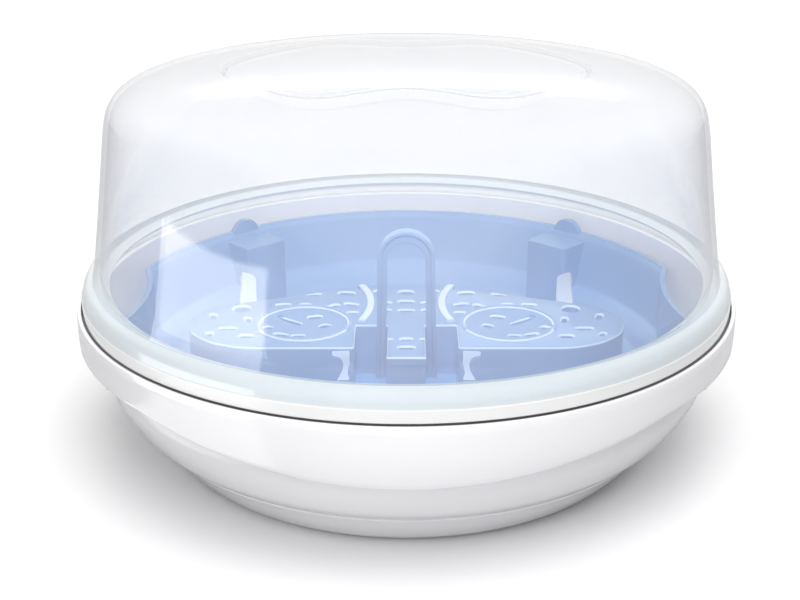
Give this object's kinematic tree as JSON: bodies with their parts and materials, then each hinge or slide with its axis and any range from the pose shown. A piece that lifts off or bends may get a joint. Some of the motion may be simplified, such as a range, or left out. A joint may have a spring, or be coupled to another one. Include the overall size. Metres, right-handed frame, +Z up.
{
  "type": "bottle sterilizer",
  "caption": "Round microwave steam sterilizer: white water bowl, slotted blue steam tray with an upright lift hoop, clear domed lid and side clips that swing up over the lid.",
  "frame": {"origin": "centre of the bowl's footprint, on the surface it stands on", "axes": "+Z up, +X to the right-hand clip, -Y to the front of the tray's deck"},
  "size_m": [0.282, 0.2808, 0.1658],
  "materials": {
    "base_white": "glossy white moulded polypropylene",
    "tray_blue": "pale blue translucent polypropylene",
    "lid_clear": "clear, slightly frosted polypropylene"
  },
  "bodies": {
    "base": {"base_bowl": "base_white"},
    "tray": {"steam_tray": "tray_blue", "lift_hoop": "tray_blue"},
    "cover": {"lid": "lid_clear"},
    "clip_left": {"side_clip_left": "base_white"},
    "clip_right": {"side_clip_right": "base_white"}
  },
  "joints": [
    {"name": "tray_lift", "type": "slide", "parent": "base", "child": "tray", "axis": [0, 0, 1], "range_m": [0, 0.12]},
    {"name": "lid_lift", "type": "slide", "parent": "tray", "child": "cover", "axis": [0, 0, 1], "range_m": [0, 0.12]},
    {"name": "clip_left_swing", "type": "hinge", "parent": "base", "child": "clip_left", "pos_m": [-0.1389, 0, 0.0509], "axis": [0, 1, 0], "range_deg": [0, 200]},
    {"name": "clip_right_swing", "type": "hinge", "parent": "base", "child": "clip_right", "pos_m": [0.1389, 0, 0.0509], "axis": [0, -1, 0], "range_deg": [0, 200]}
  ]
}
